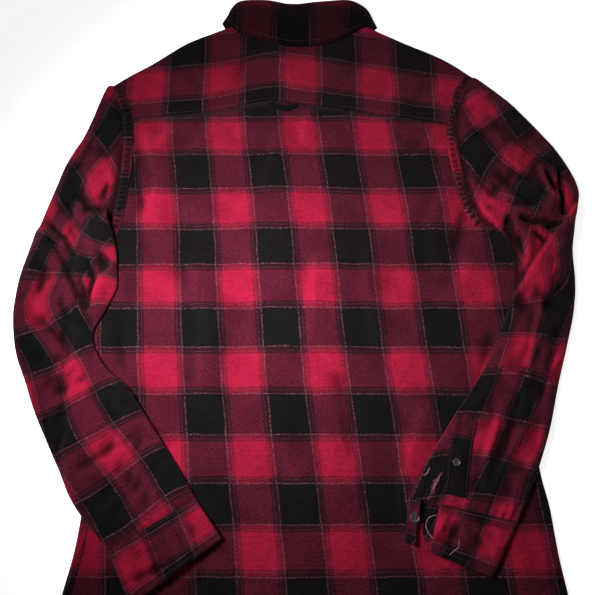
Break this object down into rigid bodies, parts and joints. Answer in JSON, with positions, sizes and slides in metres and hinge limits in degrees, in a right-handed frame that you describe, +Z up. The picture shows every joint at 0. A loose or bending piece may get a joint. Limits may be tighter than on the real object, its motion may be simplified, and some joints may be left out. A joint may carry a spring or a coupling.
{
  "type": "flannel shirt laid face down on a surface",
  "caption": "Man's long-sleeved red and black buffalo-check flannel shirt, laid flat and face down, sleeves folded in over the back, right cuff unbuttoned.",
  "frame": {"origin": "middle of the laid shirt's outline, on the surface that it lies on", "axes": "+Z up, away from the surface; +Y to the collar; +X to the wearer's right, with the back facing up"},
  "size_m": [0.7272, 0.869, 0.0202],
  "materials": {
    "flannel": "brushed cotton twill, red and black checks, matt with a soft nap",
    "buttons": "dark grey polyester, satin"
  },
  "bodies": {
    "root": {"back": "flannel", "yoke": "flannel", "front_left": "flannel", "front_right": "flannel", "front_placket": "flannel", "collar_stand": "flannel", "collar_leaf": "flannel", "sleeve_left": "flannel", "sleeve_right": "flannel", "cuff_left": "flannel", "cuff_right": "flannel", "sleeve_placket_left": "flannel", "sleeve_placket_right": "flannel", "locker_loop": "flannel", "front_button_1": "buttons", "front_button_2": "buttons", "front_button_3": "buttons", "front_button_4": "buttons", "front_button_5": "buttons", "front_button_6": "buttons", "front_button_7": "buttons", "stand_button": "buttons", "placket_button_right": "buttons", "cuff_button_right": "buttons", "cuff_button_left": "buttons"}
  },
  "joints": []
}
